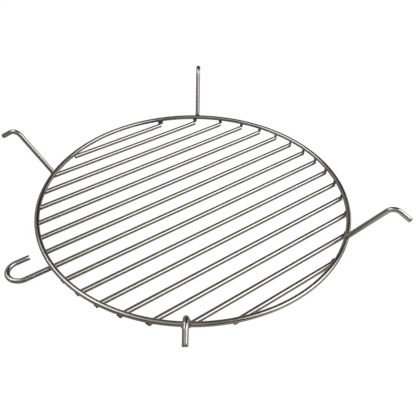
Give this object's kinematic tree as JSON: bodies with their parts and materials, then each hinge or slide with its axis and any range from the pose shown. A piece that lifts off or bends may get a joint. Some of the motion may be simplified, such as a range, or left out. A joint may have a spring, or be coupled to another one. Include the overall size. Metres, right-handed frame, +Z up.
{
  "type": "round wire cooling rack",
  "caption": "Round bright wire cooling rack: parallel bars under a ring, bent arms around it and a hook at one end.",
  "frame": {"origin": "middle of the centre bar's underside, on the plane that the rack rests on", "axes": "+X along the bars away from the hook, +Y to the rear, +Z up out of the bed"},
  "size_m": [0.339, 0.327, 0.0559],
  "materials": {
    "ring_wire": "bright drawn stainless wire, polished",
    "bar_wire": "bright drawn stainless wire, polished",
    "arm_wire": "bright drawn stainless wire, polished"
  },
  "bodies": {
    "root": {"outer_ring": "ring_wire", "cross_bar_01": "bar_wire", "cross_bar_02": "bar_wire", "cross_bar_03": "bar_wire", "cross_bar_04": "bar_wire", "cross_bar_05": "bar_wire", "cross_bar_06": "bar_wire", "cross_bar_07": "bar_wire", "centre_bar_with_hook": "bar_wire", "cross_bar_09": "bar_wire", "cross_bar_10": "bar_wire", "cross_bar_11": "bar_wire", "cross_bar_12": "bar_wire", "cross_bar_13": "bar_wire", "cross_bar_14": "bar_wire", "cross_bar_15": "bar_wire", "arm_rear_right": "arm_wire", "arm_rear_left": "arm_wire", "arm_front_left": "arm_wire", "arm_front_right": "arm_wire"}
  },
  "joints": []
}
